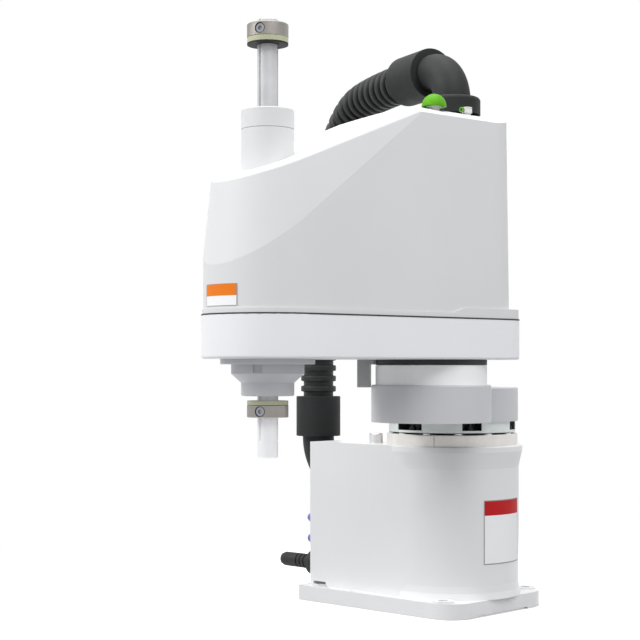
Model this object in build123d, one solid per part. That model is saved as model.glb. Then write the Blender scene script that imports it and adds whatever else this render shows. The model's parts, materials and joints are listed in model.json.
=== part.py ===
"""SCARA robot arm: base, two links, ball-screw spline quill and a cable conduit.

Units are millimetres, +Z is up.  The origin is the centre of the four foot bolts on the
mounting face; +X is the front of the base.  Arm 1, arm 2 and the quill are built in frames
of their own and placed by the rest angles below.
"""
from build123d import *
import math
import os

os.makedirs("parts", exist_ok=True)

# ---- kinematics ---------------------------------------------------------------------
LINK_1 = 125.0
LINK_2 = 175.0
J1_X = 36.0
REST_1 = -58.9
REST_2 = -37.0

# ---- running clearances -------------------------------------------------------------
GAP = 0.3
SLIP = 0.05

# ---- base ---------------------------------------------------------------------------
FOOT_X, FOOT_Y, FOOT_T = 191.0, 141.0, 13.9
FOOT_R_FRONT, FOOT_R_REAR = 25.0, 3.0
BOLT_X, BOLT_Y, BOLT_D = 150.0, 120.0, 9.0
SPOT_D, SPOT_H = 19.0, 1.6
BODY_HALF, BODY_REAR, BODY_TOP = 61.2, -87.4, 149.7
BODY_WALL = 6.0
BULGE_R = 64.4

# ---- joint 1 ------------------------------------------------------------------------
RING_1_R, RING_1_TOP = 60.1, 160.0
FLANGE_1_R, FLANGE_1_Z0, FLANGE_1_Z1 = 58.2, 161.7, 171.4
FLANGE_SILL = 2.1
POCKET_FIRST, POCKET_NARROW, POCKET_WIDE, POCKET_FLOOR_R = 26.0, 9.0, 14.5, 46.0
STOP_PIN_R, STOP_PIN_TOP = 6.25, 159.0
STOP_ANGLE = 148.0
STOP_RADIUS = 71.0
MOTOR_1 = 60.0

# ---- arm 1 --------------------------------------------------------------------------
ARM_1_Z0, ARM_1_Z1 = 171.5, 202.5
ARM_1_R, ELBOW_R = 60.5, 50.5
ELBOW_Z0, ELBOW_Z1 = 174.2, 205.5
WAIST = 42.0
BOSS_R, BOSS_TOP = 46.9, 221.8
SEAL_TOP = 226.5
J2_STOP_R, J2_STOP_TOP = 58.0, 211.0
J2_PIN_ANGLE = 160.0

# ---- arm 2 --------------------------------------------------------------------------
TRAY_Z0, TRAY_Z1 = 226.6, 260.0
TRAY_HALF, TRAY_REAR, TRAY_R = 51.0, -68.8, 25.0
TRAY_FLOOR, TRAY_WALL = 8.0, 4.0
COVER_Z0 = 260.3
COVER_HALF, COVER_REAR, COVER_R = 49.6, -67.4, 41.0
COVER_WALL = 3.0
CREST_Z, CREST_R = 435.0, 110.0
SLOPE, SLOPE_S, SLOPE_Z = 22.0, 147.7, 389.3
CREASE_TAN, CREASE_Z = 0.755, 334.5
DRAFT = 0.114
REAR_LEAN = 1.2
ROOF_FILLET = 2.5
TUBE_R, TUBE_BORE, TUBE_SEAM = 20.4, 17.4, 402.6
TUBE_CAP = 15.2
SPIGOT_R, SPIGOT_LEN = 18.9, 6.0

# ---- quill --------------------------------------------------------------------------
SHAFT_R, SHAFT_BORE, SHAFT_Z0, SHAFT_Z1 = 8.0, 5.5, 150.5, 483.7
HUB_FLANGE_R, HUB_R, HUB_NOSE_R = 36.5, 28.2, 20.5
HUB_Z0, HUB_FLANGE_Z = 198.1, 222.4
SHAFT_CHAMFER, SHAFT_PLAIN, SPLINE_FIRST = 0.8, 12.0, 7.0
COLLAR_R, COLLAR_BORE_R = 16.0, 4.1
CLAMP_ANGLE = -66.7

# ---- conduit ------------------------------------------------------------------------
HOSE_R, HOSE_CORE, HOSE_PITCH = 17.5, 14.8, 10.4
SLEEVE_R = 22.0
ELBOW_TUBE_R = 15.8
PORT_X, PORT_LEG_Z = -136.0, 107.0
SOCKET_TOP = 191.5
LEG_BACK = 25.0
TOP_Z = 477.0

J2_X = J1_X + LINK_1 * math.cos(math.radians(REST_1))
J2_Y = LINK_1 * math.sin(math.radians(REST_1))
HEADING = REST_1 + REST_2
QUILL_X = J2_X + LINK_2 * math.cos(math.radians(HEADING))
QUILL_Y = J2_Y + LINK_2 * math.sin(math.radians(HEADING))

AT_J1 = Location((J1_X, 0, 0))
AT_ARM_1 = Location((J1_X, 0, 0), (0, 0, REST_1))
AT_ARM_2 = Location((J2_X, J2_Y, 0), (0, 0, HEADING))
AT_QUILL = AT_ARM_2 * Location((LINK_2, 0, 0))


# ---- helpers ------------------------------------------------------------------------
def disc(r, z0, z1, x=0.0, y=0.0):
    return Pos(x, y, (z0 + z1) / 2) * Cylinder(r, z1 - z0)


def tube(r_out, r_in, z0, z1, x=0.0, y=0.0):
    return disc(r_out, z0, z1, x, y) - disc(r_in, z0 - 1, z1 + 1, x, y)


def block(x0, x1, y0, y1, z0, z1):
    return Pos((x0 + x1) / 2, (y0 + y1) / 2, (z0 + z1) / 2) * Box(x1 - x0, y1 - y0, z1 - z0)


def prism(sketch, z0, z1):
    return Pos(0, 0, z0) * extrude(sketch, z1 - z0)


def lathe(points, x=0.0, y=0.0):
    """Turn a closed (radius, height) profile about a vertical axis."""
    face = make_face(Plane.XZ * Polyline(*points, close=True))
    return Pos(x, y, 0) * revolve(face, Axis.Z)


def ring_of(shape, n, first=0.0):
    return [Rot(0, 0, first + 360.0 * k / n) * shape for k in range(n)]


def along_x(shape, x, y, z):
    """Lay a shape built about +Z so that its +Z points along +X."""
    return Location((x, y, z), (0, 90, 0)) * shape


def cap_screw(r_head, h_head, r_socket, length, z_seat):
    """Socket head cap screw, its head standing on z_seat and its shank below."""
    hexagon = extrude(RegularPolygon(r_socket, 6), h_head)
    head = disc(r_head, z_seat, z_seat + h_head)
    head = chamfer(head.edges().group_by(Axis.Z)[-1], 0.35)
    return head + disc(r_head * 0.55, z_seat - length, z_seat + 0.1) - Pos(
        0, 0, z_seat + h_head * 0.45) * hexagon


def joined(shapes):
    out = shapes[0]
    for s in shapes[1:]:
        out = out + s
    return out


def save(name, shape):
    solids = shape.solids() if hasattr(shape, "solids") else [shape]
    body = Compound(label=name, children=list(solids)) if len(solids) > 1 else solids[0]
    body.label = name
    export_step(body, f"parts/{name}.step")
    box = body.bounding_box()
    print(f"{name:22s} solids {len(solids):2d} vol {sum(s.volume for s in solids):10.0f} "
          f"z {box.min.Z:7.1f} {box.max.Z:7.1f}")


# ---- base ---------------------------------------------------------------------------
def foot_outline():
    half_x, half_y = FOOT_X / 2, FOOT_Y / 2
    plate = Rectangle(FOOT_X, FOOT_Y)
    front = [v for v in plate.vertices() if v.X > 0]
    plate = fillet(front, FOOT_R_FRONT)
    rear = [v for v in plate.vertices() if v.X < -half_x + 1 and abs(v.Y) > half_y - 1]
    return fillet(rear, FOOT_R_REAR)


def body_outline(offset=0.0):
    half = BODY_HALF + offset
    rear = BODY_REAR - offset
    side = Pos((J1_X + rear) / 2, 0) * Rectangle(J1_X - rear, 2 * half)
    return side + Pos(J1_X, 0) * Circle(half)


def base_housing():
    foot = prism(foot_outline(), 0, FOOT_T)
    foot -= block(FOOT_X / 2 - 40, FOOT_X / 2 + 5, -36, 36, -1, 1.5)
    shell = prism(body_outline(), FOOT_T - 0.1, BODY_TOP)
    bead = lathe([(50, 128), (BODY_HALF - 0.3, 128), (BODY_HALF + 0.6, 133),
                  (BULGE_R - 0.8, 141), (BULGE_R, 144.5), (BULGE_R, BODY_TOP - 0.8),
                  (BULGE_R - 0.8, BODY_TOP), (50, BODY_TOP)], J1_X)
    bead = bead & block(J1_X - 30, J1_X + 90, -90, 90, 0, 200)
    flare = lathe([(50, FOOT_T - 0.1), (BODY_HALF + 2.2, FOOT_T - 0.1),
                   (BODY_HALF + 0.5, FOOT_T + 6), (BODY_HALF - 0.3, FOOT_T + 16),
                   (50, FOOT_T + 16)], J1_X)
    flare = flare & block(J1_X - 10, J1_X + 90, -90, 90, 0, 60)
    body = foot + shell + bead + flare
    for x in (-BOLT_X / 2, BOLT_X / 2):
        for y in (-BOLT_Y / 2, BOLT_Y / 2):
            body += disc(SPOT_D / 2, FOOT_T - 1, FOOT_T + SPOT_H, x, y)
            body -= disc(SPOT_D / 2 - 1.4, FOOT_T + SPOT_H, FOOT_T + SPOT_H + 2.5, x, y)
            body -= disc(BOLT_D / 2, -1, FOOT_T + SPOT_H + 2.5, x, y)
    inner = prism(body_outline(-BODY_WALL), FOOT_T - 6, BODY_TOP - 12)
    inner &= block(BODY_REAR + 8, 200, -100, 100, 0, 200)
    for x in (-BOLT_X / 2, BOLT_X / 2):
        for y in (-BOLT_Y / 2, BOLT_Y / 2):
            inner -= disc(SPOT_D / 2 + 3, 0, FOOT_T + SPOT_H + 15, x, y)
    body -= inner
    body -= block(BODY_REAR - 20, BODY_REAR + 9, -48, 48, 22, 134)
    body -= block(BODY_REAR - 20, BODY_REAR + 2, -54, 54, 16, 140)
    body -= disc(44.0, BODY_TOP - 20, BODY_TOP + 1, J1_X)
    for x, y in ((-59, -67.0), (-29, -67.0)):
        body -= disc(1.7, 5, FOOT_T + 1, x, y)
    for x, y in PANEL_HOLES:
        body -= along_x(Cylinder(1.3, 16), BODY_REAR + 6, x, y)
    for y, z in FITTING_PORTS + [(BOOT_Y, BOOT_Z)]:
        body -= along_x(Cylinder(6.0, 30), BODY_REAR, y, z)
    for a in (STOP_ANGLE, -STOP_ANGLE):
        px = J1_X + STOP_RADIUS * math.cos(math.radians(a))
        py = STOP_RADIUS * math.sin(math.radians(a))
        body -= disc(4.0, BODY_TOP - 10, BODY_TOP + 1, px, py)
    return body


PANEL_HOLES = [(y, z) for y in (-51, 51) for z in (20, 66, 136)]
PANEL_X0, PANEL_X1 = BODY_REAR - 1.2, BODY_REAR + 1.8
HOSE_PORT_R = 17.0
FITTING_PORTS = [(-50.0 + 3.0, 56.0), (-47.0, 76.0), (-47.0, 102.0)]
BOOT_Y, BOOT_Z = -46.0, 33.0


def rear_panel():
    plate = block(PANEL_X0, PANEL_X1, -53.6, 53.6, 16.4, 139.6)
    plate = fillet(plate.edges().filter_by(Axis.X), 2.5)
    for y, z in PANEL_HOLES:
        plate -= along_x(Cylinder(1.7, 20), PANEL_X0, y, z)
    plate -= along_x(Cylinder(HOSE_PORT_R, 20), PANEL_X0, 0, PORT_LEG_Z)
    plate -= block(PANEL_X0 - 3, PANEL_X1 + 3, -26, 2, 28, 52)
    plate -= block(PANEL_X0 - 3, PANEL_X1 + 3, 16, 42, 30, 50)
    for y, z in FITTING_PORTS:
        plate -= along_x(Cylinder(4.2, 20), PANEL_X0, y, z)
    plate -= along_x(Cylinder(5.2, 20), PANEL_X0, BOOT_Y, BOOT_Z)
    return plate


def rear_panel_screws():
    screw = Pos(0, 0, 0) * (disc(2.6, 0, 2.2) + disc(1.25, -7, 0.1))
    screw = screw - Pos(0, 0, 1.0) * Box(4.4, 0.7, 2.6) - Pos(0, 0, 1.0) * Box(0.7, 4.4, 2.6)
    return [Location((PANEL_X0, y, z), (0, -90, 0)) * screw for y, z in PANEL_HOLES]


def power_socket():
    body = block(PANEL_X0 - 3.0, PANEL_X0, -30, 6, 24, 56)
    body += block(PANEL_X0 - 0.1, PANEL_X1 + 14, -25.7, 1.7, 28.3, 51.7)
    body = body - block(PANEL_X0 - 4, PANEL_X0 + 9, -22, -2, 32, 48)
    for y in (-17.5, -12.0, -6.5):
        body += block(PANEL_X0 + 3.5, PANEL_X0 + 9.5, y - 0.8, y + 0.8, 37.5, 42.5)
    return body


def signal_socket():
    body = block(PANEL_X0 - 6.0, PANEL_X0, 13, 45, 27, 53)
    body += block(PANEL_X0 - 0.1, PANEL_X1 + 12, 16.3, 41.7, 30.3, 49.7)
    body = body - block(PANEL_X0 - 7, PANEL_X0 + 6, 18, 40, 32, 48)
    pins = []
    for row, z in enumerate((36.0, 40.0, 44.0)):
        for k in range(6):
            y = 20.5 + 3.2 * k + (1.0 if row == 1 else 0.0)
            pins.append(along_x(Cylinder(0.6, 6.6), PANEL_X0 + 3.1, y, z))
    for x in (15.0, 43.0):
        body += along_x(hex_prism(2.4, 5.0), PANEL_X0 - 5.0, x, 40.0)
    return joined([body] + pins)


def hex_prism(r, h):
    return Pos(0, 0, -h / 2) * extrude(RegularPolygon(r, 6), h)


def push_in_fitting(collar_r=5.0, length=13.0):
    """Push-in air fitting about +Z: hexagon, body, release ring and tube bore."""
    body = Pos(0, 0, 0) * extrude(RegularPolygon(collar_r + 0.7, 6), 4.5)
    body += disc(collar_r, 4.4, length - 3)
    body += disc(collar_r - 1.6, length - 3.1, length)
    body += disc(3.9, -10, 0.1)
    return body - disc(2.1, -11, length + 1)


def air_fittings():
    return [Location((PANEL_X0, y, z), (0, -90, 0)) * push_in_fitting() for y, z in FITTING_PORTS[:2]]


def ground_terminal():
    y, z = FITTING_PORTS[2]
    stud = disc(3.9, -8, 0.1) + disc(5.4, 0, 1.4) + Pos(0, 0, 1.3) * extrude(RegularPolygon(4.2, 6), 3.2)
    stud += disc(2.0, 4, 7.5)
    return Location((PANEL_X0, y, z), (0, -90, 0)) * stud


def rubber_boot():
    profile = [(0, 0), (8.0, 0), (11.5, 3.2), (12.0, 4.5), (12.0, 9.0), (8.2, 10.4), (7.0, 13.0),
               (6.8, 46.0), (5.6, 49.4), (3.2, 51.0), (0, 51.4)]
    boot = lathe(profile)
    boot += disc(4.9, -8, 0.1)
    for k in range(3):
        boot -= tube(9.0, 6.2, 16.0 + 5 * k, 17.8 + 5 * k)
    return Location((PANEL_X0, BOOT_Y, BOOT_Z), (0, -90, 0)) * boot


def j1_motor():
    low, top = 44.0, 132.0
    body = Rectangle(MOTOR_1, MOTOR_1)
    body = fillet(body.vertices(), 7.0)
    motor = prism(body, low + 24, top - 8)
    motor += prism(fillet(Rectangle(MOTOR_1 - 4, MOTOR_1 - 4).vertices(), 6.0), low, low + 24.1)
    motor += prism(fillet(Rectangle(MOTOR_1 + 4, MOTOR_1 + 4).vertices(), 4.0), top - 8.1, top)
    for k in range(4):
        motor -= tube(60, 31.0 + 0.0, low + 30 + 8 * k, low + 31.5 + 8 * k) & Box(90, 90, 400)
    motor += block(-MOTOR_1 / 2 - 9, -MOTOR_1 / 2 + 4, -12, 12, low + 5, low + 18)
    motor += disc(7.0, top - 1, 140.0)
    return AT_J1 * motor


def j1_motor_mount():
    plate = prism(Pos(0, 0) * Circle(43.6), 132.3, 137.3) - disc(8.0, 120, 150)
    plate += tube(43.6, 38.0, 137.2, 149.6)
    return AT_J1 * plate


def j1_reducer():
    body = tube(RING_1_R, 21.0, BODY_TOP + 0.05, RING_1_TOP)
    body += tube(36.5, 21.0, 139.8, BODY_TOP + 0.1)
    body = chamfer(body.edges().filter_by(GeomType.CIRCLE).group_by(Axis.Z)[-1], 0.6)
    for part in ring_of(disc(2.6, RING_1_TOP - 8, RING_1_TOP + 2, 54.0), 12, 15):
        body -= part
    body -= ring_of(block(RING_1_R - 1.0, RING_1_R + 1, -0.5, 0.5, BODY_TOP, RING_1_TOP + 1), 1, -66)[0]
    return AT_J1 * body


def j1_reducer_bolts():
    screw = Pos(54.0, 0, 0) * cap_screw(4.1, 1.35, 1.9, 7.5, RING_1_TOP + 0.02)
    return [AT_J1 * s for s in ring_of(screw, 12, 15)]


def j1_stop_pins():
    pins = []
    for a in (STOP_ANGLE, -STOP_ANGLE):
        px = J1_X + STOP_RADIUS * math.cos(math.radians(a))
        py = STOP_RADIUS * math.sin(math.radians(a))
        pin = disc(STOP_PIN_R, BODY_TOP + 0.02, STOP_PIN_TOP)
        pin = chamfer(pin.edges().group_by(Axis.Z)[-1], 0.8)
        pin += disc(3.9, BODY_TOP - 9, BODY_TOP + 0.1)
        pin -= Pos(0, 0, STOP_PIN_TOP - 3) * extrude(RegularPolygon(2.9, 6), 4)
        pins.append(Pos(px, py, 0) * pin)
    return pins


# ---- joint 1 output and arm 1 -------------------------------------------------------
def j1_output_flange():
    body = tube(FLANGE_1_R, 20.0, FLANGE_1_Z0, FLANGE_1_Z1)
    body += tube(20.9, 15.0, 141.0, FLANGE_1_Z0 + 0.1)
    for first, half in ((POCKET_FIRST, POCKET_NARROW), (POCKET_FIRST + 60.0, POCKET_WIDE)):
        for part in ring_of(flange_pocket(half), 3, first):
            body -= part
    return AT_ARM_1 * body


def flange_pocket(half_angle):
    """Window in the flange rim, open to the arm above, between two radial walls."""
    reach = FLANGE_1_R + 8.0
    a = math.radians(half_angle)
    wedge = make_face(Polyline((0, 0), (reach, -reach * math.tan(a)), (reach, reach * math.tan(a)), close=True))
    cut = prism(wedge, FLANGE_1_Z0 + FLANGE_SILL, FLANGE_1_Z1 + 1)
    return cut - disc(POCKET_FLOOR_R, FLANGE_1_Z0, FLANGE_1_Z1 + 2)


def j1_flange_bolts():
    low = FLANGE_1_Z0 + FLANGE_SILL
    screw = Pos(52.0, 0, 0) * (disc(3.4, low + 0.02, low + 2.8) + disc(2.0, low + 2.7, FLANGE_1_Z1 - 0.05))
    return [AT_ARM_1 * s for s in ring_of(screw, 6, POCKET_FIRST)]


def arm_1_casting():
    root = disc(ARM_1_R, ARM_1_Z0, ARM_1_Z1)
    elbow = disc(ELBOW_R, ELBOW_Z0, ELBOW_Z1, LINK_1)
    web = block(0, LINK_1, -WAIST, WAIST, ELBOW_Z0, ARM_1_Z1 - 1.5)
    root = chamfer(root.edges().group_by(Axis.Z)[-1], 1.2)
    elbow = chamfer(elbow.edges().group_by(Axis.Z)[-1], 1.0)
    body = root + web + elbow
    body += disc(BOSS_R, ELBOW_Z1 - 0.1, BOSS_TOP, LINK_1)
    pocket = Pos(62, 0, 0) * prism(fillet(Rectangle(50, 68).vertices(), 8.0), ELBOW_Z0 - 1, 192)
    for y in (-22.6, 0.0, 22.6):
        pocket -= block(30, 100, y - 2, y + 2, 170, 200)
    body -= pocket
    body -= disc(14.0, ARM_1_Z0 - 1, ARM_1_Z1 + 1)
    body -= disc(34.0, ARM_1_Z1 - 4, ARM_1_Z1 + 1)
    for part in ring_of(disc(3.2, ARM_1_Z1 - 9, ARM_1_Z1 + 1, 44.0), 8, 22.5):
        body -= part
    body -= disc(38.0, ELBOW_Z0 - 1, 196.0, LINK_1)
    body -= disc(16.0, 190, BOSS_TOP + 1, LINK_1)
    body -= disc(40.5, 212.0, BOSS_TOP + 1, LINK_1)
    return AT_ARM_1 * body


def arm_1_cap():
    body = disc(33.7, ARM_1_Z1 - 3.9, ARM_1_Z1 - 1.4) + disc(13.5, 188, ARM_1_Z1 - 3.8)
    for part in ring_of(disc(1.6, ARM_1_Z1 - 2.4, ARM_1_Z1, 28.0), 4, 45):
        body -= part
    return AT_ARM_1 * body


def arm_1_bolts():
    screw = Pos(44.0, 0, 0) * cap_screw(3.1, 3.2, 1.5, 10.0, ARM_1_Z1 - 8.9)
    screw = screw & disc(80, ARM_1_Z1 - 8.95, ARM_1_Z1)
    return [AT_ARM_1 * s for s in ring_of(screw, 8, 22.5)]


def j2_stop_pin():
    pin = disc(4.0, ARM_1_Z1 - 1.48, J2_STOP_TOP, J2_STOP_R)
    pin = chamfer(pin.edges().group_by(Axis.Z)[-1], 0.6)
    return AT_ARM_1 * Pos(LINK_1, 0, 0) * Rot(0, 0, J2_PIN_ANGLE) * pin


def j2_output_flange():
    body = tube(40.2, 17.0, 212.3, BOSS_TOP + 0.1) + tube(BOSS_R - 1.8, 17.0, BOSS_TOP + 0.05, J2_SPLIT)
    for part in ring_of(disc(2.3, BOSS_TOP + 0.8, J2_SPLIT + 1, 38.0), 10):
        body -= part
    return AT_ARM_1 * Pos(LINK_1, 0, 0) * body


# ---- arm 2 --------------------------------------------------------------------------
def link_outline(half, rear, corner):
    side = Pos((LINK_2 + rear) / 2, 0) * Rectangle(LINK_2 - rear, 2 * half)
    side = fillet([v for v in side.vertices() if v.X < 0], corner)
    return side + Pos(LINK_2, 0) * Circle(half)


J2_SPLIT = BOSS_TOP + 2.1


def arm_2_tray():
    body = prism(link_outline(TRAY_HALF, TRAY_REAR, TRAY_R), TRAY_Z0, TRAY_Z1)
    body = fillet(body.edges().group_by(Axis.Z)[0], 2.0)
    body = chamfer(body.edges().group_by(Axis.Z)[-1], 0.5)
    room = prism(link_outline(TRAY_HALF - TRAY_WALL, TRAY_REAR + TRAY_WALL, TRAY_R - TRAY_WALL),
                 TRAY_Z0 + TRAY_FLOOR, TRAY_Z1 + 1)
    body -= room
    body += tube(46.0, 16.0, TRAY_Z0 + 0.0, TRAY_Z0 + TRAY_FLOOR + 3)
    body -= disc(16.0, TRAY_Z0 - 1, TRAY_Z1)
    body += tube(29.0, 24.0, TRAY_Z0 + 1, 262.0, LINK_2)
    body -= disc(24.0, TRAY_Z0 - 1, TRAY_Z1 + 4, LINK_2)
    for x in (58.0, 104.0):
        for dx in (-23.5, 23.5):
            for dy in (-38.0, 38.0):
                body += disc(4.0, TRAY_Z0 + 5, 297.4, x + dx, dy)
    for y in (-1, 1):
        body += block(-58, 20, y * 30 - 1.5, y * 30 + 1.5, TRAY_Z0 + 5, TRAY_Z0 + TRAY_FLOOR + 2.9)
    return AT_ARM_2 * body


def cover_section(inset):
    return link_outline(COVER_HALF - inset, COVER_REAR + inset, COVER_R - inset)


def crease_plane(rise):
    """Plane of the slanted crease, lifted by rise: the flanks lean inwards above it."""
    tilt = math.atan(CREASE_TAN)
    return Plane(origin=(LINK_2, 0, CREASE_Z + rise), x_dir=(math.cos(tilt), 0, -math.sin(tilt)),
                 z_dir=(math.sin(tilt), 0, math.cos(tilt)))


def rear_wall(inset):
    """Round-cornered rear end, leaning forwards by REAR_LEAN as it rises."""
    rear, half, corner = COVER_REAR + inset, COVER_HALF - inset, COVER_R - inset
    plan = Pos((rear + 400) / 2, 0) * Rectangle(400 - rear, 2 * half)
    plan = fillet([v for v in plan.vertices() if v.X < 0], corner)
    hinge_line = Pos(rear, 0, COVER_Z0)
    return hinge_line * Rot(0, REAR_LEAN, 0) * Pos(-rear, 0, -COVER_Z0) * prism(plan, COVER_Z0 - 30, 700)


def cover_block(inset=0.0, rise=170.0):
    """Outline prism below the crease, drafted loft above it, trimmed by side and crown."""
    slab = block(COVER_REAR - 20, LINK_2, inset - COVER_HALF, COVER_HALF - inset, COVER_Z0, 760)
    slab += disc(COVER_HALF - inset, COVER_Z0, 760, LINK_2)
    low = split(slab, crease_plane(0), keep=Keep.BOTTOM) & rear_wall(inset)
    foot_face = section(prism(cover_section(inset), 0, 900), section_by=crease_plane(0))
    head_face = section(prism(cover_section(inset + DRAFT * rise), 0, 900), section_by=crease_plane(rise))
    high = loft([foot_face.face(), head_face.face()], ruled=True)
    return (low + high) & side_profile(inset) & crown(inset)


def side_profile(inset):
    t = math.tan(math.radians(SLOPE))
    drop = inset * math.hypot(1, t)
    front, back = LINK_2 + COVER_HALF + 20, COVER_REAR - 20

    def roof(x):
        return SLOPE_Z - drop + (SLOPE_S - x) * t

    ridge = SLOPE_S - (CREST_Z + 40 - SLOPE_Z) / t
    pts = [(back, COVER_Z0 - 1), (front, COVER_Z0 - 1), (front, roof(front)), (ridge, roof(ridge)),
           (back, CREST_Z + 40)]
    face = make_face(Plane.XZ * Polyline(*pts, close=True))
    return Pos(0, 100, 0) * extrude(face, 200, dir=(0, -1, 0))


def roof_height(x):
    return SLOPE_Z + (SLOPE_S - x) * math.tan(math.radians(SLOPE))


def crown(inset):
    top = CREST_Z - inset
    disc_x = Pos(0, 0, CREST_Z - CREST_R) * Rot(0, 90, 0) * Cylinder(CREST_R - inset, 500)
    low = block(-200, 300, -100, 100, COVER_Z0 - 5, top - CREST_R * 0.35)
    return (disc_x & block(-200, 300, -100, 100, top - CREST_R * 0.35 - 1, top + 5)) + low


LEG_HOLE_R = 16.6
LAMP_AT = (24.0, 28.0)
TOP_FITTING_AT = (-12.4, 30.0)


def arm_2_cover():
    outer = cover_block(0.0)
    rim = [e for e in outer.edges() if abs(e.center().Z - roof_height(e.center().X)) < 1.0]
    outer = fillet(rim, ROOF_FILLET)
    lip_face = link_outline(TRAY_HALF - 1.4 + 0.8, TRAY_REAR + 1.0, TRAY_R - 1.0)
    lip = prism(lip_face, COVER_Z0, COVER_Z0 + 8.3)
    taper = [(-90, COVER_Z0 + 8.3), (12, COVER_Z0 + 8.3), (24, COVER_Z0 + 4.0), (260, COVER_Z0 + 4.0),
             (260, COVER_Z0 - 1), (-90, COVER_Z0 - 1)]
    lip &= Pos(0, 100, 0) * extrude(make_face(Plane.XZ * Polyline(*taper, close=True)), 200, dir=(0, -1, 0))
    body = outer + lip - cover_block(COVER_WALL)
    body += disc(TUBE_R, roof_height(LINK_2) - 16, TUBE_SEAM, LINK_2)
    body -= disc(TUBE_BORE, 300, 500, LINK_2)
    body -= disc(SPIGOT_R, TUBE_SEAM - SPIGOT_LEN - 0.2, 500, LINK_2)
    body -= disc(LEG_HOLE_R, 400, 460, -LEG_BACK, 0)
    body -= disc(4.6, 400, 460, *LAMP_AT)
    body -= disc(3.2, 400, 460, *TOP_FITTING_AT)
    return AT_ARM_2 * body


def tube_cap_ring():
    top = TUBE_SEAM + TUBE_CAP
    body = tube(TUBE_R, TUBE_BORE, TUBE_SEAM + 0.35, top, LINK_2)
    body = chamfer(body.edges().group_by(Axis.Z)[-1], 0.6)
    body += tube(SPIGOT_R - SLIP, TUBE_BORE, TUBE_SEAM - SPIGOT_LEN, top - 1, LINK_2)
    return AT_ARM_2 * body


def seal_ring():
    body = tube(BOSS_R, BOSS_R - 1.4, BOSS_TOP + GAP, SEAL_TOP)
    return AT_ARM_2 * body


def j2_reducer():
    """Harmonic reducer between the elbow flange and the tray, with its input hub."""
    body = tube(BOSS_R - 1.9, 12.0, J2_SPLIT + GAP, TRAY_Z0 - 0.05)
    return AT_ARM_2 * body


def motor(side, z0, z1, shaft_r, shaft_z0):
    body = prism(fillet(Rectangle(side, side).vertices(), side * 0.1), z0, z0 + 7)
    body += prism(fillet(Rectangle(side - 2, side - 2).vertices(), side * 0.12), z0 + 6.9, z1 - 24)
    body += prism(fillet(Rectangle(side - 5, side - 5).vertices(), side * 0.12), z1 - 24.1, z1)
    body += block(-side / 2 - 7, -side / 2 + 3, -8, 8, z1 - 18, z1 - 6)
    for x in (-1, 1):
        for y in (-1, 1):
            body -= disc(side * 0.045, z0 - 1, z0 + 8, x * side * 0.42, y * side * 0.42)
    body += disc(shaft_r, shaft_z0, z0 + 0.1)
    return body


def j2_motor():
    body = motor(60.0, 242.0, 352.0, 7.0, 229.0)
    body += tube(44.0, 25.0, TRAY_Z0 + TRAY_FLOOR + 3.05, 242.05)
    return AT_ARM_2 * body


MOTOR_PLATE_Z0, MOTOR_PLATE_Z1 = 297.6, 302.6
J3_AT, J4_AT = 58.0, 104.0
J4_BELT_Z, J3_BELT_Z = 270.0, 288.0
MOTOR_SHAFT_R = 4.0


def motor_plate():
    body = prism(Pos((32 + 136) / 2, 0) * fillet(Rectangle(104, 84).vertices(), 6.0), MOTOR_PLATE_Z0, MOTOR_PLATE_Z1)
    for x in (J3_AT, J4_AT):
        body -= disc(12.0, 290, 310, x)
        for dx in (-23.5, 23.5):
            for dy in (-38.0, 38.0):
                body -= disc(1.9, 290, 310, x + dx, dy)
    return AT_ARM_2 * body


def motor_plate_screws():
    out = []
    for x in (J3_AT, J4_AT):
        for dx in (-23.5, 23.5):
            for dy in (-38.0, 38.0):
                s = cap_screw(3.0, 3.0, 1.4, 4.9, MOTOR_PLATE_Z1 + 0.02) & disc(9, MOTOR_PLATE_Z0, 320)
                out.append(AT_ARM_2 * Pos(x + dx, dy, 0) * s)
    return out


def small_motor(x, z1):
    return AT_ARM_2 * Pos(x, 0, 0) * motor(40.0, MOTOR_PLATE_Z1 + 0.05, z1, 8.0, MOTOR_PLATE_Z1 - 3)


def belt(x0, x1, r0, r1, z, width=9.0, thick=1.2):
    """Closed belt round two pulleys: outer tangent outline less the inner one."""
    def outline(extra):
        a, b = r0 + extra, r1 + extra
        lean = math.acos((a - b) / (x1 - x0)) if x1 > x0 else 0.0
        pts = [(x0 + a * math.cos(lean), a * math.sin(lean)), (x1 + b * math.cos(lean), b * math.sin(lean)),
               (x1 + b * math.cos(lean), -b * math.sin(lean)), (x0 + a * math.cos(lean), -a * math.sin(lean))]
        return make_face(Polyline(*pts, close=True)) + Pos(x0, 0) * Circle(a) + Pos(x1, 0) * Circle(b)
    loop = outline(thick) - outline(0.0)
    return AT_ARM_2 * prism(loop, z - width / 2, z + width / 2)


PULLEY_MOTOR_R, PULLEY_NUT_R = 9.0, 18.0
BELT_GAP = 0.35


def pulley(r, z, bore, width=11.0):
    """Toothed belt pulley with two flanges about the local axis."""
    body = disc(r, z - width / 2, z + width / 2)
    teeth = max(12, int(r * 2))
    groove = Pos(r, 0, z) * Cylinder(0.55, width + 2)
    body = body - joined(ring_of(groove, teeth))
    for s in (-1, 1):
        body += disc(r + 1.6, z + s * width / 2 - 0.6, z + s * width / 2 + 0.6)
    return body - disc(bore, z - width, z + width)


def motor_pulley(x, z):
    body = pulley(PULLEY_MOTOR_R, z, 0.01 + MOTOR_SHAFT_R - SLIP)
    body += disc(MOTOR_SHAFT_R - SLIP + 0.02, z - 7, MOTOR_PLATE_Z1 - 3.2)
    return AT_ARM_2 * Pos(x, 0, 0) * body


NUT_R = 15.0


def spline_nut():
    """Rotating spline nut in the hub: it carries the shaft round."""
    body = tube(NUT_R, SHAFT_R + SLIP, 231.0, 276.0)
    body += tube(17.5, SHAFT_R + SLIP, 231.0, 234.0)
    body += tube(20.5, NUT_R - 0.1, 262.6, 263.6)
    return AT_QUILL * body


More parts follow.
